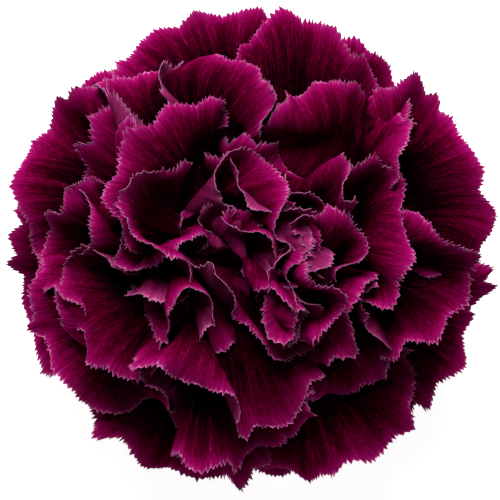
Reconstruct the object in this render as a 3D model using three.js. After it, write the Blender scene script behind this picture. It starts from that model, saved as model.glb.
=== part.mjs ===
// A double carnation: one flower head, cut just under its calyx and standing face up.
// Millimetres, +Z up. The origin is the middle of the flat cut, and Z is the flower's own axis.
// Every petal lies on its own shell of one nested family, outermost first, so no two petals meet.
import * as THREE from "three";

const { euclideanModulo, lerp, smoothstep } = THREE.MathUtils;

// ---- Driving dimensions ----

const PETAL_COUNT = 44;
const DIVERGENCE = THREE.MathUtils.degToRad(137.508); // turn from each petal to the next one in
const GUARD_PETALS = 3; // the outermost, which droop until their tips rest on the table
const PETAL_THICKNESS = 0.28;
const OUTER_BLADE = 40; // length of the outermost petal's blade, from its neck to its tip
const INNER_BLADE = 27; // the same on the innermost petal
const OUTER_FAN = THREE.MathUtils.degToRad(46); // from the middle of a blade to its side edge
const INNER_FAN = THREE.MathUtils.degToRad(14);
const SIDE_CUT = 0.44; // share by which the side edges are shorter than the middle
const SIDE_ROUNDNESS = 2.6; // higher keeps the blade's end broad further out
const OUTER_LEAN = THREE.MathUtils.degToRad(146); // of the outermost tip, from straight up
const INNER_LEAN = THREE.MathUtils.degToRad(10);
const LEAN_FALL = 1.35; // how soon the lean falls off towards the middle of the flower
const OUTER_ARCH = 3.1; // higher bends a petal nearer to its foot
const INNER_ARCH = 1.6;
const MOST_TURN = THREE.MathUtils.degToRad(60); // the furthest that a blade wraps round the axis

const RUFFLES = 5; // waves round the whole flower
const RUFFLE_HEIGHT = 0.9; // at the outline of the flower
const RUFFLE_DRIFT = 5; // radians by which the waves move on from the outermost shell to the innermost

const CLAW_WIDTH = 0.9;
const NECK_LENGTH = 6; // of claw that shows above the calyx, before the blade spreads
const MOUTH_RADIUS = 5.2; // of the outermost claws, where they leave the calyx
const HEART_RADIUS = 1.2; // of the innermost claws, there

const CALYX_TUBE = 17; // height of the tube, without its teeth
const CALYX_TOOTH = 4.2;
const CALYX_TEETH = 5;
const TOOTH_FULLNESS = 0.8; // 1 gives a tooth straight sides, and less bows them out
const TOOTH_LEAN = 1.4; // times as far out as the outermost petal leans beside it
const CALYX_WALL = 0.7;
const CALYX_FOOT_RADIUS = 4.3; // middle of the wall

const STALK_RADIUS = 3.4; // of the swollen end of the stalk, where it is cut
const STALK_HEIGHT = 2.4; // from the cut to the shoulder that carries the calyx
const RECEPTACLE_HEIGHT = 3; // of the boss above the shoulder
const RECEPTACLE_INSET = 0.6; // from the inside of the calyx

const BRACT_HEIGHT = 8.5;
const BRACT_THICKNESS = 0.4;
const BRACT_SPREAD = THREE.MathUtils.degToRad(46); // from the middle of a bract to its side edge
const BRACT_PAIRS = 2;
const BRACT_FULLNESS = 0.6; // 1 gives a bract straight sides, and less bows them out
const BRACT_TIP = 0.06; // width of a bract's tip, as a share of its foot
const BRACT_TIP_OUT = 0.8; // by which the tip stands off the calyx
const OUTER_PAIR_CUT = 0.15; // share by which the outer bracts are shorter than the inner

const OVARY_RADIUS = 1.9;
const OVARY_HEIGHT = 9;
const OVARY_FOOT = 0.6; // radius of the ovary's foot, as a share of its widest
const OVARY_WIDEST = 0.45; // share of the way up at which it is widest
const OVARY_NECK = 2.2; // radius of its top, in radii of a style
const STYLE_RADIUS = 0.32;
const STYLE_HEIGHT = 13;
const STYLE_SPREAD = 0.55; // of a style's tip from the axis

const GAP = 0.3; // between neighbours that rest on each other
const TIP_CLEARANCE = 0.3; // of the middle of a guard petal's tip above the table

const PETAL_SCATTER = 0.04; // radians by which a petal's direction strays, at most
const BLADE_SCATTER = 0.05; // share by which a blade falls short, at most

// How finely each shape is divided.
const PETAL_COLUMNS = 6;
const CLAW_ROWS = 1;
const NECK_ROWS = 2;
const BLADE_ROWS = 6;
const ROW_GROWTH = 1.4; // higher sets the blade's first rows closer together
const SHELL_STEPS = 24; // in which a shell's lean is summed up
const HALVINGS = 20; // to find a guard petal's lean
const CALYX_COLUMNS = 30;
const TUBE_ROWS = 4;
const TOOTH_ROWS = 3;
const BRACT_COLUMNS = 6;
const BRACT_ROWS = 7;
const RECEPTACLE_SIDES = 24;
const RECEPTACLE_DIVISIONS = 4; // of the dome
const OVARY_SIDES = 16;
const OVARY_DIVISIONS = 7;
const STYLE_STEPS = 8;
const STYLE_CORNERS = 4; // in each part of a style's round section

// ---- Sizes that follow from them ----

const calyxFoot = STALK_HEIGHT + GAP;
const calyxRadius = MOUTH_RADIUS + PETAL_THICKNESS / 2 + GAP + CALYX_WALL / 2; // at its mouth
const mouthHeight = calyxFoot + CALYX_TUBE;
const receptacleTop = STALK_HEIGHT + RECEPTACLE_HEIGHT;
const receptacleRadius = CALYX_FOOT_RADIUS - CALYX_WALL / 2 - RECEPTACLE_INSET;
const clawFoot = receptacleTop + GAP;
const clawLength = mouthHeight - clawFoot;
const innerFootRadius = OVARY_RADIUS + GAP + PETAL_THICKNESS;
const outerFootRadius = calyxWallRadius(clawFoot - calyxFoot) - (calyxRadius - MOUTH_RADIUS);

// ---- Shared helpers ----

// The same small number from -1 to 1 for the same petal and purpose, each time.
function vary(index, purpose) {
  const scattered = Math.sin(index * 12.9898 + purpose * 78.233) * 43758.5453;
  return 2 * (scattered - Math.floor(scattered)) - 1;
}

function cylindrical(radius, angle, height) {
  return new THREE.Vector3(radius * Math.cos(angle), radius * Math.sin(angle), height);
}

// A closed solid of even thickness about the surface surfaceAt(u, v), with u and v from 0 to 1.
// A ring's last column is its first one again.
function sheetSolid(surfaceAt, columns, rows, thickness, ring = false) {
  const across = ring ? columns : columns + 1;
  const step = 1e-3;
  const positions = [];
  for (const side of [0.5, -0.5]) {
    for (let row = 0; row <= rows; row++) {
      for (let column = 0; column < across; column++) {
        const u = column / columns;
        const v = row / rows;
        const alongU = surfaceAt(u + step, v).sub(surfaceAt(u - step, v));
        const alongV = surfaceAt(u, Math.min(v + step, 1)).sub(surfaceAt(u, Math.max(v - step, 0)));
        const normal = alongU.cross(alongV).normalize();
        positions.push(...surfaceAt(u, v).addScaledVector(normal, side * thickness));
      }
    }
  }
  const below = across * (rows + 1);
  const at = (column, row, side) => side + row * across + (column % across);
  const index = [];
  const quad = (a, b, c, d) => index.push(a, b, c, a, c, d);
  for (let row = 0; row < rows; row++) {
    for (let column = 0; column < columns; column++) {
      quad(at(column, row, 0), at(column + 1, row, 0), at(column + 1, row + 1, 0), at(column, row + 1, 0));
      quad(at(column, row, below), at(column, row + 1, below), at(column + 1, row + 1, below),
        at(column + 1, row, below));
    }
  }
  for (let column = 0; column < columns; column++) {
    quad(at(column, 0, 0), at(column, 0, below), at(column + 1, 0, below), at(column + 1, 0, 0));
    quad(at(column, rows, 0), at(column + 1, rows, 0), at(column + 1, rows, below), at(column, rows, below));
  }
  for (let row = 0; row < rows && !ring; row++) {
    quad(at(0, row, 0), at(0, row + 1, 0), at(0, row + 1, below), at(0, row, below));
    quad(at(columns, row, 0), at(columns, row, below), at(columns, row + 1, below),
      at(columns, row + 1, 0));
  }
  const geometry = new THREE.BufferGeometry();
  geometry.setAttribute("position", new THREE.Float32BufferAttribute(positions, 3));
  geometry.setIndex(index);
  geometry.computeVertexNormals();
  return geometry;
}

// A profile of (radius, height) turned about the flower's axis.
function lathe(profile, segments) {
  return new THREE.LatheGeometry(profile, segments).rotateX(Math.PI / 2);
}

function part(name, geometry, material) {
  const mesh = new THREE.Mesh(geometry, material);
  mesh.name = name;
  return mesh;
}

// ---- Materials ----

const petalMaterial = new THREE.MeshStandardMaterial({ color: 0x5e0a34, roughness: 0.75, metalness: 0 });
const calyxMaterial = new THREE.MeshStandardMaterial({ color: 0x6f8f5a, roughness: 0.6, metalness: 0 });
const pistilMaterial = new THREE.MeshStandardMaterial({ color: 0xd9d8b4, roughness: 0.55, metalness: 0 });

// ---- Petals ----

// A radius that shares the ring between two radii out evenly, with depth 0 outermost and 1 innermost.
function ringRadius(outer, inner, depth) {
  return Math.sqrt(lerp(outer ** 2, inner ** 2, depth));
}

// The shell that a petal lies on, as far along it as asked from the mouth of the calyx. Each bend is
// { depth, length, tipLean }: where in the nest, how long past the mouth, and the lean of its tip.
function shellAt(bend, along) {
  const mouth = ringRadius(MOUTH_RADIUS, HEART_RADIUS, bend.depth);
  if (along <= 0) {
    const foot = ringRadius(outerFootRadius, innerFootRadius, bend.depth);
    return { radius: lerp(mouth, foot, -along / clawLength), height: mouthHeight + along, lean: 0 };
  }
  const arch = lerp(OUTER_ARCH, INNER_ARCH, bend.depth);
  const leanAt = (far) => bend.tipLean * (1 - (1 - Math.min(far / bend.length, 1)) ** arch);
  let radius = mouth;
  let height = mouthHeight;
  for (let i = 0; i < SHELL_STEPS; i++) {
    const lean = leanAt(((i + 0.5) / SHELL_STEPS) * along);
    radius += (Math.sin(lean) * along) / SHELL_STEPS;
    height += (Math.cos(lean) * along) / SHELL_STEPS;
  }
  return { radius, height, lean: leanAt(along) };
}

// The lean that brings a petal's tip down to the table, found by halving.
function restingLean(depth, length) {
  let least = OUTER_LEAN;
  let most = Math.PI;
  for (let i = 0; i < HALVINGS; i++) {
    const tipLean = (least + most) / 2;
    const clear = shellAt({ depth, length, tipLean }, length).height > TIP_CLEARANCE;
    [least, most] = clear ? [tipLean, most] : [least, tipLean];
  }
  return least;
}

function petalBend(index) {
  const depth = index / (PETAL_COUNT - 1);
  const length = NECK_LENGTH + lerp(OUTER_BLADE, INNER_BLADE, depth);
  const openness = (1 - depth) ** LEAN_FALL;
  const tipLean = index < GUARD_PETALS ? restingLean(depth, length) : lerp(INNER_LEAN, OUTER_LEAN, openness);
  return { depth, length, tipLean };
}

const outermostBend = petalBend(0);

// A petal's middle surface: a straight narrow claw, then a fan with a rounded end, bent on its shell.
function petalSurface(index) {
  const bend = petalBend(index);
  const direction = index * DIVERGENCE + PETAL_SCATTER * vary(index, 1);
  const fan = lerp(OUTER_FAN, INNER_FAN, bend.depth);
  const shortfall = index < GUARD_PETALS ? 0 : BLADE_SCATTER * Math.abs(vary(index, 2));
  const blade = (bend.length - NECK_LENGTH) * (1 - shortfall);
  return (u, v) => {
    const side = 2 * u - 1;
    const row = v * (CLAW_ROWS + NECK_ROWS + BLADE_ROWS);
    let along = lerp(-clawLength, 0, row / CLAW_ROWS);
    let across = (side * CLAW_WIDTH) / 2;
    if (row > CLAW_ROWS) {
      along = (NECK_LENGTH * (row - CLAW_ROWS)) / NECK_ROWS;
    }
    if (row > CLAW_ROWS + NECK_ROWS) {
      const angle = side * fan;
      const share = ((row - CLAW_ROWS - NECK_ROWS) / BLADE_ROWS) ** ROW_GROWTH;
      const reach = blade * share * (1 - SIDE_CUT * Math.abs(side) ** SIDE_ROUNDNESS);
      along = NECK_LENGTH + reach * Math.cos(angle);
      across += reach * Math.sin(angle);
    }
    const shell = shellAt(bend, along);
    const angle = direction + MOST_TURN * Math.tanh(across / (shell.radius * MOST_TURN));
    const grown = smoothstep(shell.radius, MOUTH_RADIUS, OUTER_BLADE);
    const wave = RUFFLE_HEIGHT * grown * Math.sin(RUFFLES * angle + RUFFLE_DRIFT * bend.depth);
    const radius = shell.radius - wave * Math.cos(shell.lean);
    const height = shell.height + wave * Math.sin(shell.lean);
    return cylindrical(radius, angle, height);
  };
}

function makePetals() {
  const rows = CLAW_ROWS + NECK_ROWS + BLADE_ROWS;
  const petals = new THREE.Group();
  for (let i = 0; i < PETAL_COUNT; i++) {
    const geometry = sheetSolid(petalSurface(i), PETAL_COLUMNS, rows, PETAL_THICKNESS);
    petals.add(part(`petal_${String(i + 1).padStart(2, "0")}`, geometry, petalMaterial));
  }
  return petals;
}

// ---- Calyx and bracts ----

// Middle of the calyx wall at a height above its foot: it swells from the foot, and above the mouth
// it leans out of the way of the outermost petal.
function calyxWallRadius(height) {
  if (height <= CALYX_TUBE) {
    return lerp(CALYX_FOOT_RADIUS, calyxRadius, Math.sin(((height / CALYX_TUBE) * Math.PI) / 2));
  }
  const petalLean = shellAt(outermostBend, height - CALYX_TUBE).radius - MOUTH_RADIUS;
  return calyxRadius + TOOTH_LEAN * petalLean;
}

// A tube whose top edge rises into five pointed teeth.
function makeCalyx() {
  const rows = TUBE_ROWS + TOOTH_ROWS;
  const surface = (u, v) => {
    const acrossTooth = Math.abs(euclideanModulo(u * CALYX_TEETH, 1) * 2 - 1);
    const tooth = Math.max(CALYX_TOOTH * (1 - acrossTooth) ** TOOTH_FULLNESS, CALYX_WALL);
    const row = v * rows;
    const tube = CALYX_TUBE * Math.min(row / TUBE_ROWS, 1);
    const height = tube + tooth * Math.max((row - TUBE_ROWS) / TOOTH_ROWS, 0);
    return cylindrical(calyxWallRadius(height), 2 * Math.PI * u, calyxFoot + height);
  };
  return part("calyx", sheetSolid(surface, CALYX_COLUMNS, rows, CALYX_WALL, true), calyxMaterial);
}

// Two pairs of pointed scales, each pair a quarter turn from the other and lying outside it.
function makeBracts() {
  const bracts = new THREE.Group();
  for (let i = 0; i < 2 * BRACT_PAIRS; i++) {
    const pair = Math.floor(i / 2);
    const direction = (i % 2) * Math.PI + (pair * Math.PI) / 2;
    const stand = CALYX_WALL / 2 + GAP + BRACT_THICKNESS / 2 + pair * (BRACT_THICKNESS + GAP);
    const tall = BRACT_HEIGHT * (1 - OUTER_PAIR_CUT * pair);
    const surface = (u, v) => {
      const side = 2 * u - 1;
      const halfWidth = BRACT_SPREAD * lerp((1 - v) ** BRACT_FULLNESS, BRACT_TIP, v ** 3);
      const height = tall * v;
      const tipOut = BRACT_TIP_OUT * v ** 3;
      const radius = calyxWallRadius(height) + stand + tipOut;
      return cylindrical(radius, direction + side * halfWidth, calyxFoot + height);
    };
    const geometry = sheetSolid(surface, BRACT_COLUMNS, BRACT_ROWS, BRACT_THICKNESS);
    bracts.add(part(`bract_${i + 1}`, geometry, calyxMaterial));
  }
  return bracts;
}

// ---- Receptacle and pistil ----

// The stalk's swollen end with its flat cut, a shoulder under the calyx and a domed boss inside it.
function makeReceptacle() {
  const profile = new THREE.Path();
  profile.moveTo(0, 0);
  profile.lineTo(STALK_RADIUS, 0);
  profile.lineTo(CALYX_FOOT_RADIUS, STALK_HEIGHT);
  profile.lineTo(receptacleRadius, STALK_HEIGHT);
  profile.lineTo(receptacleRadius, STALK_HEIGHT + RECEPTACLE_HEIGHT / 2);
  profile.quadraticCurveTo(receptacleRadius, receptacleTop, 0, receptacleTop);
  const outline = profile.getPoints(RECEPTACLE_DIVISIONS);
  return part("receptacle", lathe(outline, RECEPTACLE_SIDES), calyxMaterial);
}

// The seed case, drawn in at the top, where it parts into two styles that curl slightly away.
function makePistil() {
  const styleFoot = clawFoot + OVARY_HEIGHT;
  const outline = new THREE.SplineCurve([
    new THREE.Vector2(OVARY_RADIUS * OVARY_FOOT, clawFoot),
    new THREE.Vector2(OVARY_RADIUS, clawFoot + OVARY_HEIGHT * OVARY_WIDEST),
    new THREE.Vector2(STYLE_RADIUS * OVARY_NECK, styleFoot),
  ]);
  const profile = [new THREE.Vector2(0, clawFoot), ...outline.getPoints(OVARY_DIVISIONS)];
  profile.push(new THREE.Vector2(0, styleFoot + STYLE_RADIUS));
  const pistil = new THREE.Group();
  pistil.add(part("ovary", lathe(profile, OVARY_SIDES), pistilMaterial));
  const section = new THREE.Shape().absarc(0, 0, STYLE_RADIUS, 0, 2 * Math.PI);
  for (const [name, side] of [["style_left", -1], ["style_right", 1]]) {
    const foot = styleFoot + STYLE_RADIUS + GAP;
    const path = new THREE.CatmullRomCurve3([
      new THREE.Vector3(side * (STYLE_RADIUS + GAP / 2), 0, foot),
      new THREE.Vector3(side * (STYLE_RADIUS + GAP / 2), 0, foot + STYLE_HEIGHT / 2),
      new THREE.Vector3(side * STYLE_SPREAD, 0, foot + STYLE_HEIGHT),
    ]);
    const options = { steps: STYLE_STEPS, curveSegments: STYLE_CORNERS, extrudePath: path };
    pistil.add(part(name, new THREE.ExtrudeGeometry(section, options), pistilMaterial));
  }
  return pistil;
}

const carnation = new THREE.Group();
carnation.add(makePetals(), makeCalyx(), makeBracts(), makeReceptacle(), makePistil());

export default carnation;
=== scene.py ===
"""The looks of one double carnation bloom, cut just under its calyx and standing face up."""

import math

import bpy
import numpy as np
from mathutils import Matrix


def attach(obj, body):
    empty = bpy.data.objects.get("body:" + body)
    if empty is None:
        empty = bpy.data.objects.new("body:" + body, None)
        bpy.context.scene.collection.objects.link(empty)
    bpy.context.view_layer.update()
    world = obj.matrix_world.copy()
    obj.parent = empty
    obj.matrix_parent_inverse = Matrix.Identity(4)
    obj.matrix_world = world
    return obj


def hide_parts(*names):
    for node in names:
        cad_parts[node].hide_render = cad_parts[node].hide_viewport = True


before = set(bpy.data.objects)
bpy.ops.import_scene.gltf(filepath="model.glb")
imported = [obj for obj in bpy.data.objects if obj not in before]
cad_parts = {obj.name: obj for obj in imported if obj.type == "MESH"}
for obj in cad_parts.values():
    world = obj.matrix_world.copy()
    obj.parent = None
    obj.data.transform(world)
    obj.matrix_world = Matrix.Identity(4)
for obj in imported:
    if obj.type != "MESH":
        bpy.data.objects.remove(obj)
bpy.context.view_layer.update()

# The petals. A double carnation has forty or more, each a soft sheet a quarter of a millimetre thick,
# with a narrow straight claw held in the calyx and a fan-shaped blade that spreads above it.
# They are nested: the outermost bend right over, the innermost stand up in the heart.
MM = 0.001
PETALS = 44
DIVERGENCE = math.radians(137.508)  # turn from each petal to the next one in
GUARD_PETALS = 3  # the outermost, whose tips rest on the table
PETAL_THICKNESS = 0.24
STALK_HEIGHT = 2.4
MOUTH_HEIGHT = 19.7  # where the claws leave the calyx
CLAW_FOOT = 5.7
CLAW_WIDTH = 0.9
NECK_LENGTH = 6.0
MOUTH_RADII = (5.2, 1.2)  # of the outermost and innermost claws as they leave the calyx
FOOT_RADII = (3.95, 2.5)  # and where they grow from the receptacle
BLADE_LENGTHS = (40.0, 27.0)
FAN_ANGLES = (math.radians(40), math.radians(30))
SIDE_CUT = 0.42
SIDE_ROUNDNESS = 2.6
TIP_LEANS = (math.radians(146), math.radians(12))
GUARD_LEAN = math.radians(158)
LEAN_FALL = 1.35
ARCHES = (3.1, 1.6)
INCURVE = math.radians(38)  # by which the heart's petals bend back in above their middles
CURL = (math.radians(30), math.radians(135))  # by which an inner petal's edge rolls outward
MOST_TURN = math.radians(62)  # the furthest that a blade wraps round the flower's axis
LEAST_RADIUS = 0.6
DIRECTION_STRAY = (0.05, 0.4)  # radians off the spiral, of the outermost and innermost
LENGTH_LOST = (0.05, 0.16)  # the most that a blade may fall short, as a share
LEAN_STRAY = 0.07
CURLING_DEPTHS = (0.15, 0.5)  # from the rim, 0, to the heart, 1: where petals begin to curl
CURLED_PART = (0.68, 0.97)  # of a petal's length
BENT_IN_DEPTHS = (0.55, 1)
BENT_IN_PART = (0.25, 0.75)
SEED = 7

rng = np.random.default_rng(SEED)
petal = np.arange(PETALS)
depth = petal / (PETALS - 1)


def between(pair, share):
    return pair[0] + (pair[1] - pair[0]) * share


def smooth(value, low, high):
    share = np.clip((value - low) / (high - low), 0, 1)
    return share * share * (3 - 2 * share)


def length_of(vectors):
    return np.sqrt(vectors[..., 0] ** 2 + vectors[..., 1] ** 2 + vectors[..., 2] ** 2)


direction = petal * DIVERGENCE + rng.uniform(-1, 1, PETALS) * between(DIRECTION_STRAY, depth)
blade = between(BLADE_LENGTHS, depth) * (1 - rng.uniform(0, 1, PETALS) * between(LENGTH_LOST, depth))
fan = between(FAN_ANGLES, depth)
tip_lean = TIP_LEANS[1] + (TIP_LEANS[0] - TIP_LEANS[1]) * (1 - depth) ** LEAN_FALL
tip_lean[:GUARD_PETALS] = GUARD_LEAN
tip_lean[GUARD_PETALS:] += rng.uniform(-LEAN_STRAY, LEAN_STRAY, PETALS - GUARD_PETALS)
curl = rng.uniform(*CURL, PETALS) * smooth(depth, *CURLING_DEPTHS)
mouth_radius = np.sqrt(between([r * r for r in MOUTH_RADII], depth))
foot_radius = np.sqrt(between([r * r for r in FOOT_RADII], depth))


def bent_profile(index, samples=160):
    """Distance past the calyx's mouth, radius, height and lean along one petal's middle."""
    reach = NECK_LENGTH + between(BLADE_LENGTHS, depth[index])
    along = np.linspace(0, reach, samples)
    share = along / reach
    lean = tip_lean[index] * (1 - (1 - share) ** between(ARCHES, depth[index]))
    lean = lean - INCURVE * smooth(depth[index], *BENT_IN_DEPTHS) * smooth(share, *BENT_IN_PART)
    lean = lean + curl[index] * smooth(share, *CURLED_PART)
    step = reach / (samples - 1)
    middle = (lean[1:] + lean[:-1]) / 2
    radius = mouth_radius[index] + np.concatenate([[0], np.cumsum(np.sin(middle)) * step])
    height = MOUTH_HEIGHT + np.concatenate([[0], np.cumsum(np.cos(middle)) * step])
    return along, np.maximum(radius, LEAST_RADIUS), height, lean


# Each petal starts as a net of points: the claw's first rows stay put, and the blade's rows open out.
NET_COLUMNS = 27
CLAW_ROWS = 4
BLADE_ROWS = 15
NET_ROWS = CLAW_ROWS + BLADE_ROWS - 1
FOLD_WAVES = (2.5, 4.0, 6.5)  # half waves from side to side
FOLD_DEPTHS = (2.4, 5.0)  # of a fold of one wave, on the outermost and innermost petals
FOLD_SLANT = 0.6
FOLDS_FROM = (3, 16)  # radii between which folds come in
side = np.linspace(-1, 1, NET_COLUMNS)
flat = np.zeros((PETALS, NET_ROWS, NET_COLUMNS, 2))  # across and along, as cut flat
claw_length = MOUTH_HEIGHT - CLAW_FOOT
for row, along in enumerate((-claw_length, 0.0, NECK_LENGTH * 0.5)):
    flat[:, row, :, 0] = side * CLAW_WIDTH / 2
    flat[:, row, :, 1] = along
for row in range(BLADE_ROWS):
    share = row / (BLADE_ROWS - 1)
    angle = fan[:, None] * side
    reach = blade[:, None] * share * (1 - SIDE_CUT * np.abs(side) ** SIDE_ROUNDNESS)
    flat[:, CLAW_ROWS - 1 + row, :, 0] = side * CLAW_WIDTH / 2 + reach * np.sin(angle)
    flat[:, CLAW_ROWS - 1 + row, :, 1] = NECK_LENGTH + reach * np.cos(angle)
row_share = np.clip((np.arange(NET_ROWS) - CLAW_ROWS + 1) / (BLADE_ROWS - 1), 0, 1)

net = np.zeros((PETALS, NET_ROWS, NET_COLUMNS, 3))
for index in petal:
    across, along = flat[index, ..., 0], flat[index, ..., 1]
    steps, radii, heights, leans = bent_profile(index)
    radius = np.interp(along, steps, radii)
    height = np.interp(along, steps, heights)
    lean = np.interp(along, steps, leans)
    inside = along < 0
    claw = between((foot_radius[index], mouth_radius[index]), 1 + along / claw_length)
    radius = np.where(inside, claw, radius)
    height = np.where(inside, MOUTH_HEIGHT + along, height)
    lean = np.where(inside, 0, lean)
    turn = MOST_TURN * np.tanh(across / (radius * MOST_TURN))
    # The first hint of each fold, which growth then deepens.
    fold = np.zeros_like(across)
    for waves in FOLD_WAVES:
        phase = rng.uniform(0, 2 * math.pi)
        size = rng.uniform(0.5, 1.0) * between(FOLD_DEPTHS, depth[index]) / waves
        slant = FOLD_SLANT * row_share[:, None] * waves
        fold += size * np.sin(waves * math.pi * side + phase + slant)
    fold *= row_share[:, None] ** 1.5 * smooth(radius, *FOLDS_FROM)
    angle = direction[index] + turn
    out = radius - fold * np.cos(lean)
    net[index, ..., 0] = out * np.cos(angle)
    net[index, ..., 1] = out * np.sin(angle)
    net[index, ..., 2] = height + fold * np.sin(lean)


def eddies(longest, shortest, count):
    """A smooth swirling drift, the same for every petal at the same place, so that none cross."""
    for _ in range(count):
        wave = rng.normal(0, 1, 3)
        wave *= 2 * math.pi / rng.uniform(shortest, longest) / math.sqrt((wave * wave).sum())
        swirl = np.cross(wave, rng.normal(0, 1, 3)) / math.sqrt((wave * wave).sum())
        yield wave, swirl, rng.uniform(0, 2 * math.pi)


DRIFT_STEPS = 10
STILL_BELOW = (23, 36)  # heights between which the drift comes in
RIM_STILLNESS = 0.95


def press(points, longest, shortest, count, far, reach):
    """Carries the points along a swirling drift for far, in small steps, less so below the bloom."""
    waves = list(eddies(longest, shortest, count))
    for _ in range(DRIFT_STEPS):
        drift = np.zeros_like(points)
        for wave, swirl, phase in waves:
            at = points[..., 0] * wave[0] + points[..., 1] * wave[1] + points[..., 2] * wave[2] + phase
            drift += np.sin(at)[..., None] * swirl
        radius = np.sqrt(points[..., 0] ** 2 + points[..., 1] ** 2)
        free = smooth(points[..., 2], *STILL_BELOW) * (1 - RIM_STILLNESS * smooth(radius, *reach))
        points = points + drift * (free * far / DRIFT_STEPS / math.sqrt(count))[..., None]
    return points


WELL_STEPS = 10
WELL_PUSH = 2.0
WELL_RISE = 10  # above its foot, by which a well is fully open


def open_wells(points, hollows):
    """Opens a well at each hollow, by carrying the points sideways from its middle in small steps."""
    for _ in range(WELL_STEPS):
        for x, y, foot, size in hollows:
            aside = points * (1, 1, 0) - (x, y, 0)
            risen = smooth(points[..., 2], foot, foot + WELL_RISE)
            near = np.exp(-(aside ** 2).sum(-1) / (2 * size ** 2)) * risen
            points = points + aside * (near * WELL_PUSH / WELL_STEPS)[..., None]
    return points


# The dark hollows between the folds, each as the x and y of its middle, its foot and its size.
HOLLOWS = (
    (-4, 14, 26, 3.2),
    (4, 11, 27, 2.6),
    (-11, 10, 26, 2.8),
    (-16, 4, 25, 2.6),
    (-1, 1, 30, 2.2),
    (12, 7, 26, 2.6),
    (20, 3, 25, 2.8),
    (11, -10, 26, 2.8),
    (6, -16, 25, 2.8),
    (-3, -19, 24, 2.8),
    (-15, -14, 24, 3.0),
    (-19, -7, 24, 2.6),
)
net = press(net, longest=32, shortest=17, count=14, far=7.5, reach=(22, 35))
net = press(net, longest=15, shortest=8.5, count=18, far=4.2, reach=(24, 38))
net = open_wells(net, HOLLOWS)
net = np.round(net, 6)

# A blade's edge grows longer than its middle can lie flat, so it buckles into ruffles, and the blades
# press on each other as they do: lengths are held, bends resisted, and neighbours pushed apart.
EDGE_GROWTH = (0.9, 1.5)  # of the outermost and innermost petals
GROWTH_TO_EDGE = 2.2  # how steeply growth gathers towards the edge
GROWING_PART = 0.6  # of the steps
STEPS = 220
STEPS_A_SEARCH = 6
TOUCH = 0.62  # half the distance that blades keep, out where they are free
NECK_TOUCH = 0.05  # and at the neck, where they are packed tight
TOUCH_RISE = 0.035  # for each millimetre past the neck
SEARCH_MARGIN = 0.5
PULL = 0.012  # share by which a point is drawn back to where it started, each step
EDGE_FREEDOM = 0.8  # by which that pull is less at the edge
FLOOR = 0.25
TINY = 1e-6


def neighbours(down, right):
    """Slices of the net's points, and of the points that far down and right of them."""
    rows, columns = NET_ROWS - abs(down), NET_COLUMNS - abs(right)
    first = (slice(None), slice(0, rows), slice(max(-right, 0), max(-right, 0) + columns))
    second = (slice(None), slice(down, down + rows), slice(max(right, 0), max(right, 0) + columns))
    return first, second


def batches(down, right):
    """The pairs that far apart, in batches that share no point."""
    first, second = neighbours(down, right)
    axis, stride = (1, down) if down else (2, right)
    for start in range(2 * stride):
        a, b = list(first), list(second)
        a[axis] = slice(a[axis].start + start, a[axis].stop, 2 * stride)
        b[axis] = slice(b[axis].start + start, b[axis].stop, 2 * stride)
        yield tuple(a), tuple(b)


def flat_lengths(a, b):
    difference = flat[b] - flat[a]
    return np.sqrt(difference[..., 0] ** 2 + difference[..., 1] ** 2)


links = []
for down, right, stiffness, only_push in (
    (1, 0, 0.9, False),
    (0, 1, 0.9, False),
    (1, 1, 0.5, False),
    (1, -1, 0.5, False),
    (2, 0, 0.35, True),
    (0, 2, 0.22, True),
    (0, 4, 0.05, True),
):
    for a, b in batches(down, right):
        rest = flat_lengths(a, b)
        grows = row_share[a[1]][None, :, None] * np.ones_like(rest)
        most = between(EDGE_GROWTH, depth)[:, None, None]
        across_part = np.abs(flat[b][..., 0] - flat[a][..., 0]) if right else np.zeros_like(rest)
        grows = most * grows ** GROWTH_TO_EDGE
        links.append((a, b, rest, across_part, grows, stiffness, only_push))


def hold_lengths(points, growth):
    for a, b, rest, across_part, grows, stiffness, only_push in links:
        wanted = np.sqrt(rest ** 2 + across_part ** 2 * ((1 + growth * grows) ** 2 - 1))
        gap = points[b] - points[a]
        length = np.maximum(length_of(gap), TINY)
        share = (1 - wanted / length) * (0.5 * stiffness)
        if only_push:
            share = np.minimum(share, 0)
        gap *= share[..., None]
        points[a] += gap
        points[b] -= gap


free_rows = slice(CLAW_ROWS, NET_ROWS)
shape_free = (PETALS, NET_ROWS - CLAW_ROWS, NET_COLUMNS)
owner = np.broadcast_to(petal[:, None, None], shape_free).ravel()
grid_row = np.broadcast_to(np.arange(shape_free[1])[None, :, None], shape_free).ravel()
grid_column = np.broadcast_to(np.arange(NET_COLUMNS)[None, None, :], shape_free).ravel()
past_neck = np.maximum(flat[:, free_rows, :, 1] - NECK_LENGTH, 0).ravel()
touch = np.minimum(NECK_TOUCH + TOUCH_RISE * past_neck, TOUCH)
CELL_BITS = 10  # for each of a cell's three numbers
MIDDLE_CELL = 1 << (CELL_BITS - 1)
# Half of the 26 cells round a cell, and itself: the other half find it in their own turn.
CELLS_ON = [
    cell
    for cell in ((x, y, z) for x in (0, 1) for y in (-1, 0, 1) for z in (-1, 0, 1))
    if cell >= (0, 0, 0)
]


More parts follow.
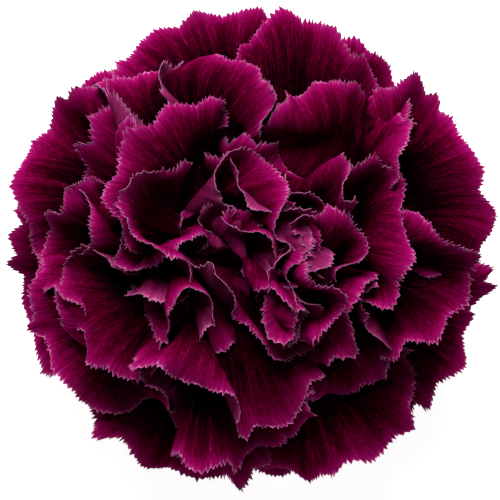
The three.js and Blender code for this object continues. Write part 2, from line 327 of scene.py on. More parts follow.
def close_pairs(points, reach):
    """Pairs of points nearer than reach, apart from a petal's own neighbouring points."""
    cell = np.floor(points / reach).astype(np.int64) + MIDDLE_CELL
    key = (cell[:, 0] << 2 * CELL_BITS) + (cell[:, 1] << CELL_BITS) + cell[:, 2]
    order = np.argsort(key, kind="stable")
    ordered = key[order]
    firsts, seconds = [], []
    for dx, dy, dz in CELLS_ON:
        target = ordered + (dx << 2 * CELL_BITS) + (dy << CELL_BITS) + dz
        low = np.searchsorted(ordered, target, "left")
        high = np.searchsorted(ordered, target, "right")
        if (dx, dy, dz) == (0, 0, 0):
            low = np.arange(len(ordered)) + 1
        count = np.maximum(high - low, 0)
        a = np.repeat(np.arange(len(ordered)), count)
        before = np.repeat(np.cumsum(count) - count, count)
        b = np.arange(count.sum()) - before + np.repeat(low, count)
        firsts.append(order[a])
        seconds.append(order[b])
    a, b = np.concatenate(firsts), np.concatenate(seconds)
    apart = (np.abs(grid_row[a] - grid_row[b]) > 2) | (np.abs(grid_column[a] - grid_column[b]) > 2)
    keep = (owner[a] != owner[b]) | apart
    a, b = a[keep], b[keep]
    near = length_of(points[a] - points[b]) < reach
    return a[near], b[near]


def keep_apart(points, a, b):
    gap = points[b] - points[a]
    length = np.maximum(length_of(gap), TINY)
    wanted = touch[a] + touch[b]
    push = np.maximum(wanted - length, 0) / length * 0.5
    gap *= push[:, None]
    count = len(points)
    for axis in range(3):
        points[:, axis] += np.bincount(b, gap[:, axis], count) - np.bincount(a, gap[:, axis], count)


start = net.copy()
home = PULL * (1 - EDGE_FREEDOM * row_share[None, :, None, None])
reach = 2 * TOUCH + SEARCH_MARGIN
for step in range(STEPS):
    hold_lengths(net, min(1, step / (GROWING_PART * STEPS)))
    net += home * (start - net)
    loose = net[:, free_rows].reshape(-1, 3)
    if step % STEPS_A_SEARCH == 0:
        pair_a, pair_b = close_pairs(loose, reach)
    keep_apart(loose, pair_a, pair_b)
    net[:, free_rows] = loose.reshape(shape_free + (3,))
    net[:, :CLAW_ROWS] = start[:, :CLAW_ROWS]
    net[..., 2] = np.maximum(net[..., 2], FLOOR)

# A show bloom is round: the reach of its blades is evened out, all round, from the neck outward.
EVEN_REACH = 40.0
EVEN_FROM = 14.0
EVEN_OVER = 14.0  # the width over which the evening comes in
SHORTEST_REACH = 25
HARMONICS = 14
SECTORS = 72
around = np.arctan2(net[..., 1], net[..., 0]).ravel()
reach = np.sqrt(net[..., 0] ** 2 + net[..., 1] ** 2).ravel()
outline = np.zeros(SECTORS)
sector = ((around / (2 * math.pi) + 0.5) * SECTORS).astype(int) % SECTORS
np.maximum.at(outline, sector, reach)
middles = (np.arange(SECTORS) + 0.5) / SECTORS * 2 * math.pi - math.pi
waves = np.arange(1, HARMONICS + 1)


def rounds(angles):
    """The waves that fit round the bloom, at those angles."""
    turns = angles[:, None] * waves
    return np.concatenate([np.ones((len(angles), 1)), np.cos(turns), np.sin(turns)], 1)


fit = np.linalg.lstsq(rounds(middles), outline, rcond=None)[0]
rim = np.maximum(rounds(around) @ fit, SHORTEST_REACH)
stretch = (EVEN_REACH - EVEN_FROM) / (rim - EVEN_FROM)
evened = np.where(reach > EVEN_FROM, EVEN_FROM + (reach - EVEN_FROM) * stretch, reach)
share = 1 + (evened / np.maximum(reach, TINY) - 1) * smooth(reach, EVEN_FROM, EVEN_FROM + EVEN_OVER)
net[..., :2] *= share.reshape(net.shape[:3])[..., None]

# The finished petal: a fine smooth sheet through the net, its edge cut into uneven teeth.
TOOTH_PITCH = 0.62  # as cut flat: the edge then grows to about twice as long
TOOTH_DEPTH = 0.95
LOBE_PITCH = 7.0  # of the deeper notches between groups of teeth
LOBE_DEPTH = 2.4
CUT_PART = (0.80, 1.0)  # of a petal's rows, that are drawn in at a notch
MM_TO_CM = 0.1  # the distances from the edge that the colours read are in centimetres
SIDE_MARGIN = 0.12
MARGIN_FADE = 0.25  # past which distances are to the uncut edge again
PLEAT_SIZE = 0.055
PLEAT_KNOTS = 9  # places along a petal where its pleats change
ROLL_WIDTH = 0.45  # centimetres of edge that roll outward
ROLLED_PART = (0.55, 0.8)  # of the blade
ROLLING_DEPTHS = (0.1, 0.4)
FRILLS = 30
FINE_ROWS = 34
EVEN_ROWS = 0.1  # share of the rows that are evenly spaced, before they close up to the edge
ROW_CROWDING = 1.35
ROW_CUTS = 6  # into which each row of the net is cut
THIN_EDGE = 0.35  # share of the thickness left at the edge
THIN_WIDTH = 0.15
CUT_VARIETY = (0.75, 1.1)  # of one petal's teeth against another's
STREAK_CROWDING = 1.2
MAP_STEP = 7.0  # from one petal's map to the next, so that no two have the same streaks


def spline_weights(count, places):
    """Rows of cubic B-spline weights that read count points, ends held, at those places."""
    padded = np.zeros((count + 2, count))
    padded[1:-1] = np.eye(count)
    padded[0, 0], padded[0, 1] = 2, -1
    padded[-1, -1], padded[-1, -2] = 2, -1
    base = np.clip(np.floor(places).astype(int), 0, count - 2)
    t = places - base
    weights = np.zeros((len(places), count + 2))
    rows = np.arange(len(places))
    weights[rows, base] = (1 - t) ** 3 / 6
    weights[rows, base + 1] = (3 * t ** 3 - 6 * t ** 2 + 4) / 6
    weights[rows, base + 2] = (-3 * t ** 3 + 3 * t ** 2 + 3 * t + 1) / 6
    weights[rows, base + 3] = t ** 3 / 6
    return weights @ padded


def teeth(length, pitch):
    """Places from 0 to 1 along an edge, two to a tooth, and how deep the edge is cut at each."""
    count = max(3, int(length / pitch))
    ends = np.cumsum(rng.uniform(0.5, 1.5, count + 1))
    ends = (ends - ends[0]) / (ends[-1] - ends[0])
    peak = between((ends[:-1], ends[1:]), rng.uniform(0.3, 0.7, count))
    height = rng.uniform(0.3, 1.0, count)
    places = np.stack([ends[:-1], peak], -1)
    return np.append(places, 1), 1 - np.append(np.stack([0 * height, height], -1), 0)


def sheet_mesh(name, points, thickness, corners):
    """A closed sheet about a grid of points. The UV maps hold a value for each point, or for each
    point of the back and then of the face."""
    rows, columns = points.shape[:2]
    down = np.gradient(points, axis=0)
    right = np.gradient(points, axis=1)
    normal = np.cross(right, down)
    normal /= np.maximum(length_of(normal), 1e-9)[..., None]
    half = thickness[..., None] / 2
    vertices = np.concatenate([points + normal * half, points - normal * half]).reshape(-1, 3)
    at = np.arange(rows * columns).reshape(rows, columns)
    a, b, c, d = at[:-1, :-1], at[:-1, 1:], at[1:, 1:], at[1:, :-1]
    top = np.stack([a, b, c, d], -1).reshape(-1, 4)
    bottom = np.stack([a, d, c, b], -1).reshape(-1, 4) + rows * columns
    rim = []
    for line in (at[0, ::-1], at[:, 0], at[-1], at[::-1, -1]):
        below = line + rows * columns
        rim.append(np.stack([line[:-1], below[:-1], below[1:], line[1:]], -1))
    faces = np.concatenate([top, bottom] + rim)
    mesh = bpy.data.meshes.new(name)
    mesh.vertices.add(len(vertices))
    mesh.vertices.foreach_set("co", (vertices * MM).astype(np.float32).ravel())
    mesh.loops.add(faces.size)
    mesh.loops.foreach_set("vertex_index", faces.ravel().astype(np.int32))
    mesh.polygons.add(len(faces))
    mesh.polygons.foreach_set("loop_start", np.arange(0, faces.size, 4, dtype=np.int32))
    mesh.update(calc_edges=True)
    mesh.polygons.foreach_set("use_smooth", np.ones(len(faces), bool))
    for label, values in corners.items():
        layer = mesh.uv_layers.new(name=label)
        both = np.broadcast_to(values, (2, rows, columns, 2)).reshape(-1, 2)
        layer.data.foreach_set("uv", both[faces.ravel()].astype(np.float32).ravel())
    mesh.validate()
    piece = bpy.data.objects.new(name, mesh)
    bpy.context.scene.collection.objects.link(piece)
    return piece


class Value:
    """A number that varies over a surface. Arithmetic on it adds Math nodes."""

    def __init__(self, sheet, socket):
        self.sheet = sheet
        self.socket = socket

    def maths(self, operation, first, second):
        return self.sheet.node("ShaderNodeMath", {"operation": operation}, first, second)

    def __add__(self, other):
        return self.maths("ADD", self, other)

    def __sub__(self, other):
        return self.maths("SUBTRACT", self, other)

    def __rsub__(self, other):
        return self.maths("SUBTRACT", other, self)

    def __mul__(self, other):
        return self.maths("MULTIPLY", self, other)

    __radd__ = __add__
    __rmul__ = __mul__

    def within(self, low, high):
        """0 below low, 1 above high, and smooth between."""
        settings = {"interpolation_type": "SMOOTHSTEP"}
        return self.sheet.node("ShaderNodeMapRange", settings, self, low, high, 0.0, 1.0)


class Finish:
    """One material's nodes, around its Principled shader."""

    def __init__(self, name, **settings):
        self.material = bpy.data.materials.new(name)
        self.material.use_nodes = True
        self.tree = self.material.node_tree
        self.shader = self.tree.nodes["Principled BSDF"]
        for socket, value in settings.items():
            self.shader.inputs[socket.replace("_", " ")].default_value = value

    def node(self, kind, settings, *inputs, output=0, **named):
        """Adds a node, with its settings made before its sockets are joined or set."""
        node = self.tree.nodes.new(kind)
        for key, value in settings.items():
            if key == "stops":
                ramp = node.color_ramp
                while len(ramp.elements) < len(value):
                    ramp.elements.new(0.5)
                for element, (place, colour) in zip(ramp.elements, value):
                    element.position = place
                    element.color = (*colour, 1)
            else:
                setattr(node, key, value)
        for key, value in [*enumerate(inputs), *named.items()]:
            self.join(node.inputs[key], value)
        return Value(self, node.outputs[output])

    def join(self, socket, value):
        if isinstance(value, Value):
            self.tree.links.new(value.socket, socket)
        else:
            socket.default_value = value

    def feed(self, **sockets):
        for name, value in sockets.items():
            self.join(self.shader.inputs[name.replace("_", " ")], value)


def mixed(finish, share, first, second):
    """One colour over another by share."""
    node = finish.tree.nodes.new("ShaderNodeMix")
    node.data_type = "RGBA"
    for socket, value in ((0, share), (6, first), (7, second)):
        if isinstance(value, tuple):
            value = (*value, 1)
        finish.join(node.inputs[socket], value)
    return Value(finish, node.outputs[2])


# Petal flesh: burgundy velvet, streaked along its veins, magenta at its edge. It darkens to near black
# at its foot:
# partly its own deeper burgundy, partly painted shade for the hollows the foot sits in. The pale
# lavender at the very edge is partly its own colour and partly painted sheen. Each ramp runs from the
# edge inward, by shares of COLOUR_AND_SHADE_REACH.
PETAL_COLOURS_SHADE_SHEEN = (
    (0.0, (0.52, 0.14, 0.33)),
    (0.009, (0.34, 0.034, 0.160)),
    (0.035, (0.245, 0.004, 0.088)),
    (0.12, (0.190, 0.0010, 0.057)),
    (0.28, (0.086, 0.0, 0.0165)),
    (0.45, (0.034, 0.0, 0.0054)),
    (0.66, (0.0095, 0.0, 0.0017)),
    (0.90, (0.0012, 0.0, 0.0003)),
)
# The back of a petal is duller and more mauve, and darkens less towards its foot. Its pale mauve edge
# is partly painted sheen, and its darkening towards the foot partly painted shade.
BACK_COLOURS_SHADE_SHEEN = (
    (0.0, (0.54, 0.21, 0.38)),
    (0.010, (0.34, 0.062, 0.19)),
    (0.05, (0.225, 0.017, 0.094)),
    (0.28, (0.125, 0.0040, 0.043)),
    (0.55, (0.040, 0.0008, 0.012)),
    (0.90, (0.006, 0.0, 0.0018)),
)
COLOUR_AND_SHADE_REACH = 1.55  # centimetres from the edge by which the flesh, with its painted shade, is at its darkest
# Each noise as its count across and along the petal's map, its detail and its roughness.
FLECKS = ((150.0, 42.0, 1.0), 3.0, 0.65)
VEINS = ((190.0, 11.0, 1.0), 4.0, 0.7)
RIBS = ((36.0, 3.0, 1.0), 2.0, 0.5)
EDGE_DRAWN_IN = 1.3  # how far a streak draws the colours in or out, as a share of the way to the edge
EDGE_FRAYED = 0.05  # and in centimetres


def streaks(finish, lie, pattern):
    """A noise drawn out along the piece."""
    scale, detail, roughness = pattern
    at = finish.node("ShaderNodeMapping", {}, lie, Scale=scale)
    settings = {"noise_dimensions": "2D"}
    sockets = {"Scale": 1.0, "Detail": detail, "Roughness": roughness}
    return finish.node("ShaderNodeTexNoise", settings, at, **sockets)


def petal_finish():
    """Petals are as matt as velvet, so they have no gloss at all; the sheen at their edges is painted
    into their colour instead, along with painted shade towards their foot.
    """
    finish = Finish("petal_flesh_shade_sheen", Roughness=0.6, Specular_IOR_Level=0.0)
    lie = finish.node("ShaderNodeUVMap", {"uv_map": "lie"})
    edge_map = finish.node("ShaderNodeUVMap", {"uv_map": "edge"})
    edge = finish.node("ShaderNodeSeparateXYZ", {}, edge_map)
    back = finish.node("ShaderNodeSeparateXYZ", {}, edge_map, output=1)
    flecks = streaks(finish, lie, FLECKS)
    veins = streaks(finish, lie, VEINS)
    ribs = streaks(finish, lie, RIBS)
    streak = (flecks - 0.5) + (veins - 0.5) + (ribs - 0.5) * 0.8
    ragged = edge * (1 + streak * EDGE_DRAWN_IN) + streak * EDGE_FRAYED
    share = ragged * (1 / COLOUR_AND_SHADE_REACH)
    # The ramps paint shade towards each petal's foot and sheen at its very edge, over the petal's own
    # colours.
    face_colour_shade_sheen = finish.node("ShaderNodeValToRGB", {"stops": PETAL_COLOURS_SHADE_SHEEN}, share)
    back_colour_shade_sheen = finish.node("ShaderNodeValToRGB", {"stops": BACK_COLOURS_SHADE_SHEEN}, share)
    finish.feed(Base_Color=mixed(finish, back, face_colour_shade_sheen, back_colour_shade_sheen))
    height = flecks * 0.3 + veins * 0.4 + ribs
    finish.feed(Normal=finish.node("ShaderNodeBump", {}, Strength=0.6, Distance=0.0002, Height=height))
    return finish.material


petal_flesh_shade_sheen = petal_finish()
fine = np.linspace(0, 1, FINE_ROWS)
crowded = 1 - (1 - (fine - EVEN_ROWS) / (1 - EVEN_ROWS)) ** ROW_CROWDING
fine = np.where(fine < EVEN_ROWS, fine, EVEN_ROWS + (1 - EVEN_ROWS) * crowded)
dense = np.linspace(0, NET_ROWS - 1, ROW_CUTS * (NET_ROWS - 1) + 1)
down = spline_weights(NET_ROWS, dense)
pleat_places = spline_weights(PLEAT_KNOTS, np.linspace(0, PLEAT_KNOTS - 1, FINE_ROWS))
is_back = np.array([1.0, 0.0])[:, None, None]
for index in petal:
    edge_length = 2 * fan[index] * blade[index] * 0.85 + 2 * SIDE_CUT * blade[index]
    places, cut = teeth(edge_length, TOOTH_PITCH)
    lobe_places, lobe_cut = teeth(edge_length, LOBE_PITCH)
    across = 2 * places - 1
    columns = len(across)
    over = spline_weights(NET_COLUMNS, (across + 1) / 2 * (NET_COLUMNS - 1))
    smooth_net = np.einsum("dr,rcx->dcx", down, net[index])
    smooth_net = np.einsum("fc,dcx->dfx", over, smooth_net)
    side_length = blade[index] * (1 - SIDE_CUT * np.abs(across) ** SIDE_ROUNDNESS)
    row_length = side_length / (BLADE_ROWS - 1)
    cut = TOOTH_DEPTH * cut + LOBE_DEPTH * np.interp(places, lobe_places, lobe_cut ** 2)
    cut *= rng.uniform(*CUT_VARIETY) * (0.6 + 0.4 * np.minimum(1, side_length / blade[index]))
    share = fine[:, None] * np.ones(columns)
    place = share * (NET_ROWS - 1) - (cut / row_length) * smooth(share, *CUT_PART)
    place = np.clip(place, 0, NET_ROWS - 1)
    low = np.minimum((place * ROW_CUTS).astype(int), len(dense) - 2)
    past = (place * ROW_CUTS - low)[..., None]
    column = np.broadcast_to(np.arange(columns), low.shape)
    points = smooth_net[low, column] * (1 - past) + smooth_net[low + 1, column] * past
    blade_share = np.clip((place - (CLAW_ROWS - 1)) / (BLADE_ROWS - 1), 0, 1)
    to_edge = (1 - blade_share) * side_length * MM_TO_CM
    to_side = (1 - np.abs(across)) * fan[index] * blade_share * blade[index] * MM_TO_CM
    to_edge = np.minimum(to_edge, SIDE_MARGIN + to_side)
    # Colour and thickness follow the cut edge itself, tooth by tooth.
    to_margin = np.minimum((place[-1] - place) * row_length * MM_TO_CM, to_edge)
    to_margin += (to_edge - to_margin) * smooth(to_margin, 0.0, MARGIN_FADE)
    # Fine pleats along the veins, deeper towards the edge.
    normal = np.cross(np.gradient(points, axis=1), np.gradient(points, axis=0))
    normal /= np.maximum(length_of(normal), 1e-9)[..., None]
    pleat = pleat_places @ rng.normal(0, 1, (PLEAT_KNOTS, columns))
    points = points + normal * (PLEAT_SIZE * pleat * smooth(blade_share, 0.25, 1.0))[..., None]
    # The edge rolls outward, more in some places than in others.
    waver = np.interp(places, np.linspace(0, 1, FRILLS), rng.uniform(-0.2, 1.2, FRILLS))
    roll = rng.uniform(0.5, 1.5) * smooth(depth[index], *ROLLING_DEPTHS) * waver
    turn = roll * (1 - smooth(to_edge, 0, ROLL_WIDTH)) * smooth(blade_share, *ROLLED_PART)
    stride = np.diff(points, axis=0)
    outward = normal[1:] * length_of(stride)[..., None]
    stride = stride * np.cos(turn[1:])[..., None] + outward * np.sin(turn[1:])[..., None]
    points = np.concatenate([points[:1], points[:1] + np.cumsum(stride, axis=0)])
    lie_across = across * fan[index] * STREAK_CROWDING + MAP_STEP * index
    lie = np.stack(np.broadcast_arrays(lie_across, place / (NET_ROWS - 1)), -1)
    edge = np.stack(np.broadcast_arrays(to_margin, is_back), -1)
    thickness = PETAL_THICKNESS * between((THIN_EDGE, 1), smooth(to_margin, 0, THIN_WIDTH))
    piece = sheet_mesh(f"bloom_petal_{index + 1:02d}", points, thickness, {"lie": lie, "edge": edge})
    piece.data.materials.append(petal_flesh_shade_sheen)
    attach(piece, "root")
    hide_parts(f"petal_{index + 1:02d}")

# The pistil stands hidden among the claws: a smooth pale seed case drawn in at its top, where it
# parts into two slender white styles. It grows from the middle of the receptacle.
OVARY_RADIUS = 1.9
OVARY_HEIGHT = 9.0
STYLE_RADIUS = 0.3
STYLE_FOOT = 15.35
STYLE_HEIGHT = 12.8
STYLE_STAND = 0.48
STYLE_SPREAD = 0.6
STYLE_TAPER = 0.35
STYLE_RINGS = 60
STYLE_SIDES = 16
OVARY_SIDES = 64
TRACE_STEP = 0.12  # between the rings of a turned solid
EASED_STEPS = 12  # over which its corners are eased, each way
END_RADIUS = 0.05  # of the first and last ring, which are filled in


def ring_mesh(name, rings, corners, joined=False):
    """A closed skin through rings of points, its ends joined to each other or each filled in."""
    rows, columns = rings.shape[:2]
    at = np.arange(rows * columns).reshape(rows, columns)
    at = np.concatenate([at, at[:, :1]], 1)
    spread = np.arange(rows * (columns + 1)).reshape(rows, columns + 1)
    if joined:
        at = np.concatenate([at, at[:1]])
        spread = np.concatenate([spread, spread[:1]])
    faces, places = [], []
    for grid, quads in ((at, faces), (spread, places)):
        corner_grids = [grid[:-1, :-1], grid[:-1, 1:], grid[1:, 1:], grid[1:, :-1]]
        quads += np.stack(corner_grids, -1).reshape(-1, 4).tolist()
    if not joined:
        faces += [at[0, :0:-1].tolist(), at[-1, :-1].tolist()]
        places += [spread[0, :0:-1].tolist(), spread[-1, :-1].tolist()]
    mesh = bpy.data.meshes.new(name)
    mesh.from_pydata((rings.reshape(-1, 3) * MM).tolist(), [], faces)
    mesh.polygons.foreach_set("use_smooth", np.ones(len(faces), bool))
    order = np.concatenate(places)
    for label, values in corners.items():
        layer = mesh.uv_layers.new(name=label)
        layer.data.foreach_set("uv", values.reshape(-1, 2)[order].astype(np.float32).ravel())
    piece = bpy.data.objects.new(name, mesh)
    bpy.context.scene.collection.objects.link(piece)
    return piece


def turned(name, profile, columns, lobes, swell, roundness=0.35):
    """A solid turned from a profile of (radius, height) with its corners eased, and lobed all round."""
    profile = np.array(profile, float)
    legs = np.sqrt(((profile[1:] - profile[:-1]) ** 2).sum(1))
    place = np.concatenate([[0], np.cumsum(legs)])
    fine = np.arange(0, place[-1], TRACE_STEP)
    off = np.arange(-EASED_STEPS, EASED_STEPS + 1) * TRACE_STEP
    kernel = np.exp(-off ** 2 / (2 * roundness ** 2))
    kernel /= kernel.sum()
    traced = [np.interp(fine, place, profile[:, axis]) for axis in (0, 1)]
    traced = [np.convolve(np.pad(line, EASED_STEPS, "edge"), kernel, "valid") for line in traced]
    radius, height = np.maximum(traced[0], END_RADIUS), traced[1]
    turn = np.linspace(0, 2 * math.pi, columns + 1)
    wobble = 1 + swell * np.cos(lobes * turn)[None, :]
    points = np.zeros((len(fine), columns + 1, 3))
    points[..., 0] = radius[:, None] * wobble * np.cos(turn)
    points[..., 1] = radius[:, None] * wobble * np.sin(turn)
    points[..., 2] = height[:, None]
    lie = np.stack(np.broadcast_arrays(turn[None, :] / 2, fine[:, None] * MM_TO_CM), -1)
    edge = np.stack([radius, height], -1)[:, None] * MM_TO_CM + 0 * turn[None, :, None]
    return ring_mesh(name, points[:, :-1], {"lie": lie, "edge": edge})


def pale_finish(name, pale, tinged):
    finish = Finish(name, Roughness=0.42, Subsurface_Weight=0.1)
    lie = finish.node("ShaderNodeUVMap", {"uv_map": "lie"})
    grain = streaks(finish, lie, ((36.0, 6.0, 1.0), 3.0, 0.5))
    finish.feed(Base_Color=mixed(finish, grain.within(0.35, 0.65), pale, tinged))
    finish.feed(Normal=finish.node("ShaderNodeBump", {}, Strength=0.4, Distance=0.0001, Height=grain))
    return finish.material


ovary_profile = [
    (0, CLAW_FOOT),
    (OVARY_RADIUS * 0.62, CLAW_FOOT),
    (OVARY_RADIUS * 0.95, CLAW_FOOT + OVARY_HEIGHT * 0.25),
    (OVARY_RADIUS, CLAW_FOOT + OVARY_HEIGHT * 0.5),
    (OVARY_RADIUS * 0.8, CLAW_FOOT + OVARY_HEIGHT * 0.78),
    (STYLE_RADIUS * 2.2, CLAW_FOOT + OVARY_HEIGHT),
    (0, CLAW_FOOT + OVARY_HEIGHT + STYLE_RADIUS),
]
ovary = turned("seed_case", ovary_profile, OVARY_SIDES, lobes=2, swell=0.03)
ovary.data.materials.append(pale_finish("seed_case_skin", (0.50, 0.58, 0.26), (0.62, 0.66, 0.36)))
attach(ovary, "root")
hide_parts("ovary")

style_skin = pale_finish("style_skin", (0.78, 0.74, 0.62), (0.70, 0.52, 0.52))
for word, facing in (("left", -1), ("right", 1)):
    share = np.linspace(0, 1, STYLE_RINGS)
    turn = np.linspace(0, 2 * math.pi, STYLE_SIDES + 1)
    stand = between((STYLE_STAND, STYLE_SPREAD), share ** 3)
    rounded_tip = np.sqrt(np.minimum(1, 12 * (1.005 - share)))
    girth = STYLE_RADIUS * (1 - STYLE_TAPER * share) * rounded_tip
    points = np.zeros((STYLE_RINGS, STYLE_SIDES + 1, 3))
    points[..., 0] = facing * stand[:, None] + girth[:, None] * np.cos(turn)
    points[..., 1] = girth[:, None] * np.sin(turn)
    points[..., 2] = STYLE_FOOT + STYLE_HEIGHT * share[:, None]
    lie = np.stack(np.broadcast_arrays(turn[None, :] / 6, share[:, None]), -1)
    style = ring_mesh(f"{word}_style", points[:, :-1], {"lie": lie, "edge": lie})
    style.data.materials.append(style_skin)
    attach(style, "root")
    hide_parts(f"style_{word}")

# The receptacle is the swollen end of the flower's stalk, that every petal stands on. It is cut flat
# below the calyx: a green skin, a pale moist ring, and a whiter pith in the middle.
STALK_RADIUS = 3.4
CALYX_FOOT_RADIUS = 4.3
BOSS_RADIUS = 3.35
BOSS_TOP = 5.4
STALK_SIDES = 96
STALK_GREENS = ((0.085, 0.17, 0.055), (0.15, 0.26, 0.10))
CUT_FLESH = ((0.74, 0.76, 0.58), (0.42, 0.53, 0.26))  # from the pith out to the moist ring
stalk = turned(
    "stalk_end",
    [
        (0, 0),
        (STALK_RADIUS, 0),
        (STALK_RADIUS + 0.1, 0.5),
        (CALYX_FOOT_RADIUS, STALK_HEIGHT - 0.2),
        (CALYX_FOOT_RADIUS - 0.2, STALK_HEIGHT),
        (BOSS_RADIUS, STALK_HEIGHT + 0.1),
        (BOSS_RADIUS, STALK_HEIGHT + 1.5),
        (BOSS_RADIUS * 0.7, BOSS_TOP - 0.4),
        (0, BOSS_TOP),
    ],
    STALK_SIDES,
    lobes=6,
    swell=0.012,
    roundness=0.12,
)


def stalk_finish():
    finish = Finish("cut_stalk")
    lie = finish.node("ShaderNodeUVMap", {"uv_map": "lie"})
    edge = finish.node("ShaderNodeUVMap", {"uv_map": "edge"})
    radius = finish.node("ShaderNodeSeparateXYZ", {}, edge)
    height = finish.node("ShaderNodeSeparateXYZ", {}, edge, output=1)
    fibres = streaks(finish, lie, ((60.0, 8.0, 1.0), 3.0, 0.5))
    skin = mixed(finish, fibres.within(0.35, 0.65), *STALK_GREENS)
    from_pith = (radius + (fibres - 0.5) * 0.06).within(0.14, 0.26)
    flesh = mixed(finish, from_pith, *CUT_FLESH)
    cut = (1 - height.within(0.004, 0.016)) * (1 - radius.within(0.30, 0.33))
    finish.feed(Base_Color=mixed(finish, cut, skin, flesh), Roughness=0.55 - cut * 0.3)
    finish.feed(Normal=finish.node("ShaderNodeBump", {}, Strength=0.5, Distance=0.0001, Height=fibres))
    return finish.material


stalk.data.materials.append(stalk_finish())
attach(stalk, "root")
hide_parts("receptacle")

# The calyx is a firm green tube, ribbed with fine veins under a grey bloom of wax, that holds all the
# claws together. Its mouth is cut into five pointed teeth that lean out under the lowest petals.
CALYX_FOOT = 2.7
CALYX_TUBE = 17.0
CALYX_MOUTH_RADIUS = 5.99
CALYX_WALL = 0.6
CALYX_TEETH = 5
TOOTH_HEIGHT = 4.2
LEAST_TOOTH = 0.5
TOOTH_LEAN = 1.4  # times the lean of the lowest petal
TOOTH_FULLNESS = 0.8
TOOTH_WIDTH_SHARE = 0.35  # by which a tooth's margin is nearer than its tip
CALYX_RIBS = 35
RIB_HEIGHT = 0.07
CALYX_COLUMNS = 280
CALYX_ROWS = 60
LONGEST_MARGIN = 9
CALYX_GREENS = ((0.075, 0.16, 0.055), (0.135, 0.24, 0.09))
WAX = (0.28, 0.37, 0.27)
DRY_MARGIN = (0.46, 0.42, 0.24)
mouth_steps, mouth_radii = bent_profile(0)[:2]


def calyx_radius(height):
    """The middle of the wall: it swells from the foot, and leans out above the mouth."""
    swell = np.sin(np.clip(height / CALYX_TUBE, 0, 1) * math.pi / 2)
    lean = np.interp(height - CALYX_TUBE, mouth_steps, mouth_radii) - MOUTH_RADII[0]
    return between((CALYX_FOOT_RADIUS, CALYX_MOUTH_RADIUS), swell) + TOOTH_LEAN * np.maximum(lean, 0)


turn = np.linspace(0, 2 * math.pi, CALYX_COLUMNS + 1)
off_middle = np.abs(turn * CALYX_TEETH / (2 * math.pi) % 1 * 2 - 1)
tooth = np.maximum(TOOTH_HEIGHT * (1 - off_middle) ** TOOTH_FULLNESS, LEAST_TOOTH)
rising = np.linspace(0, 1, CALYX_ROWS)[:, None]
height = rising * (CALYX_TUBE + tooth)
to_margin = np.minimum((CALYX_TUBE + tooth) * (1 - rising), LONGEST_MARGIN)
to_margin = to_margin * np.where(height > CALYX_TUBE, TOOTH_WIDTH_SHARE, 1) * MM_TO_CM
rib = RIB_HEIGHT * np.cos(CALYX_RIBS * turn) * smooth(rising, 0.02, 0.2)
half_wall = CALYX_WALL / 2 * between((THIN_EDGE, 1), smooth(to_margin, 0, 0.12))
outside = calyx_radius(height) + half_wall + rib
within = calyx_radius(height) - half_wall
radius = np.concatenate([outside, within[::-1]])
height = np.concatenate([height, height[::-1]])
points = np.stack([radius * np.cos(turn), radius * np.sin(turn), CALYX_FOOT + height], -1)
lie = np.stack([turn + 0 * height, height * MM_TO_CM], -1)
edge = np.stack([np.concatenate([to_margin, to_margin[::-1]]), 0 * height], -1)
calyx = ring_mesh("calyx_tube", points[:, :-1], {"lie": lie, "edge": edge}, joined=True)


def green_finish():
    finish = Finish("waxy_green", Sheen_Weight=0.08)
    lie = finish.node("ShaderNodeUVMap", {"uv_map": "lie"})
    edge_map = finish.node("ShaderNodeUVMap", {"uv_map": "edge"})
    edge = finish.node("ShaderNodeSeparateXYZ", {}, edge_map)
    veins = streaks(finish, lie, ((26.0, 1.4, 1.0), 3.0, 0.5))
    wax = streaks(finish, lie, ((6.0, 6.0, 1.0), 5.0, 0.5))
    body = mixed(finish, veins.within(0.35, 0.65), *CALYX_GREENS)
    body = mixed(finish, wax.within(0.4, 0.75) * 0.45, body, WAX)
    body = mixed(finish, (1 - edge.within(0.0, 0.07)) * 0.75, body, DRY_MARGIN)
    finish.feed(Base_Color=body, Roughness=0.45 + wax * 0.2)
    finish.feed(Normal=finish.node("ShaderNodeBump", {}, Strength=0.5, Distance=0.00015, Height=veins))
    return finish.material


waxy_green = green_finish()
calyx.data.materials.append(waxy_green)
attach(calyx, "root")
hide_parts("calyx")

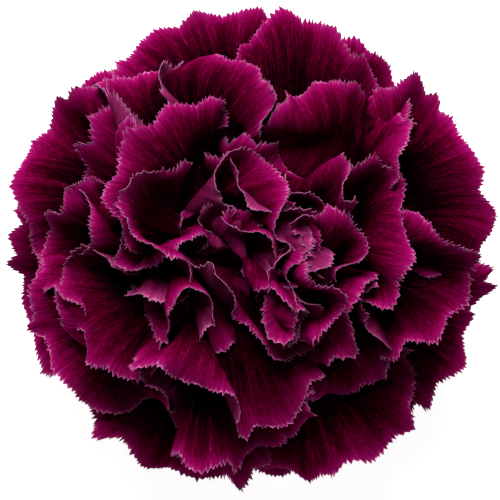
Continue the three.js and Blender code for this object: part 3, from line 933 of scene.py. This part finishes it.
# The bracts are four short broad scales of the same waxy green. They clasp the calyx's foot in two
# pairs, the second pair a quarter turn round and outside the first, and end in a fine point.
BRACT_HEIGHT = 8.5
BRACT_THICKNESS = 0.36
BRACT_SPREAD = math.radians(46)
OUTER_PAIR_CUT = 0.15  # by which the outer pair is shorter
BRACT_FULLNESS = 0.6
BRACT_POINT = 0.03
BRACT_TIP_OUT = 0.9
BRACT_BULGE = 0.12
BRACT_THIN_EDGE = 0.3  # share of the thickness left at its edge
BRACT_COLUMNS = 61
BRACT_ROWS = 48
BRACTS = 4
CLEARANCE = 0.3
for index in range(BRACTS):
    pair = index // 2
    facing = math.pi * (index % 2) + math.pi / 2 * pair
    stand = CALYX_WALL / 2 + RIB_HEIGHT + CLEARANCE + BRACT_THICKNESS / 2
    stand += pair * (BRACT_THICKNESS + CLEARANCE)
    share = np.linspace(0, 1, BRACT_ROWS)[:, None]
    side = np.linspace(-1, 1, BRACT_COLUMNS)[None, :]
    narrowing = (1 - share) ** BRACT_FULLNESS * (1 - share ** 3)
    half = BRACT_SPREAD * (narrowing + BRACT_POINT * share ** 3)
    height = BRACT_HEIGHT * (1 - OUTER_PAIR_CUT * pair) * share + 0 * side
    bulge = BRACT_BULGE * (1 - side ** 2) * smooth(share, 0.1, 0.5)
    radius = calyx_radius(height) + stand + BRACT_TIP_OUT * share ** 3 + bulge
    angle = facing + side * half
    points = np.stack([radius * np.cos(angle), radius * np.sin(angle), CALYX_FOOT + height], -1)
    lie = np.stack([angle + 3 * index, height * MM_TO_CM], -1)
    to_side = (1 - np.abs(side)) * half * radius * MM_TO_CM + 0.02 * (1 - share)
    to_margin = np.minimum(to_side, (1 - share) * BRACT_HEIGHT * MM_TO_CM)
    edge = np.stack([to_margin, 0 * height], -1)
    thickness = BRACT_THICKNESS * between((BRACT_THIN_EDGE, 1), smooth(to_margin, 0, 0.1))
    bract = sheet_mesh(f"bract_scale_{index + 1}", points, thickness, {"lie": lie, "edge": edge})
    bract.data.materials.append(waxy_green)
    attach(bract, "root")
    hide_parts(f"bract_{index + 1}")

# The table: a plain white sheet under the flower. It is lit evenly from below, as a light table is,
# so that the flower lies on clean white.
TABLE_HALF = 3.0
PAPER = (0.93, 0.93, 0.93, 1)
PAPER_GLOW = 0.9
corners = [(x * TABLE_HALF, y * TABLE_HALF, 0) for x, y in ((-1, -1), (1, -1), (1, 1), (-1, 1))]
floor_mesh = bpy.data.meshes.new("table")
floor_mesh.from_pydata(corners, [], [(0, 1, 2, 3)])
table = bpy.data.objects.new("table", floor_mesh)
bpy.context.scene.collection.objects.link(table)
white = Finish("white_paper", Roughness=0.9)
white.feed(Base_Color=PAPER, Emission_Color=(1, 1, 1, 1), Emission_Strength=PAPER_GLOW)
floor_mesh.materials.append(white.material)

# Studio light: an even white surround, and one soft lamp above and beyond the bloom, whose slanting
# light leaves the hollows between the petals dark.
SURROUND = 0.10
LAMP_SIZE = 0.32
LAMP_WATTS = 7.6
LAMP_PLACE = (-0.06, 0.44, 0.52)
LAMP_TILT = (math.radians(-40), math.radians(-6), 0)
world = bpy.data.worlds.new("studio")
bpy.context.scene.world = world
world.use_nodes = True
surround = world.node_tree.nodes["Background"]
surround.inputs["Color"].default_value = (1, 1, 1, 1)
surround.inputs["Strength"].default_value = SURROUND
lamp_data = bpy.data.lights.new("softbox", "AREA")
lamp_data.size = LAMP_SIZE
lamp_data.energy = LAMP_WATTS
lamp = bpy.data.objects.new("softbox", lamp_data)
bpy.context.scene.collection.objects.link(lamp)
lamp.location = LAMP_PLACE
lamp.rotation_euler = LAMP_TILT
bpy.context.scene.view_settings.view_transform = "Standard"

# The camera looks straight down on the bloom, and stands off until the bloom fills its view.
LENS = 150
SENSOR = 36
VIEW_WIDTH = 0.079
VIEW_HEIGHT = 0.028  # at which the view is that wide
VIEW_MIDDLE = (-0.0001, -0.0003)
camera_data = bpy.data.cameras.new("camera")
camera_data.lens = LENS
camera_data.sensor_width = SENSOR
camera_data.clip_start = 0.01
camera = bpy.data.objects.new("camera", camera_data)
bpy.context.scene.collection.objects.link(camera)
camera.location = (*VIEW_MIDDLE, VIEW_HEIGHT + VIEW_WIDTH * LENS / SENSOR)
bpy.context.scene.camera = camera
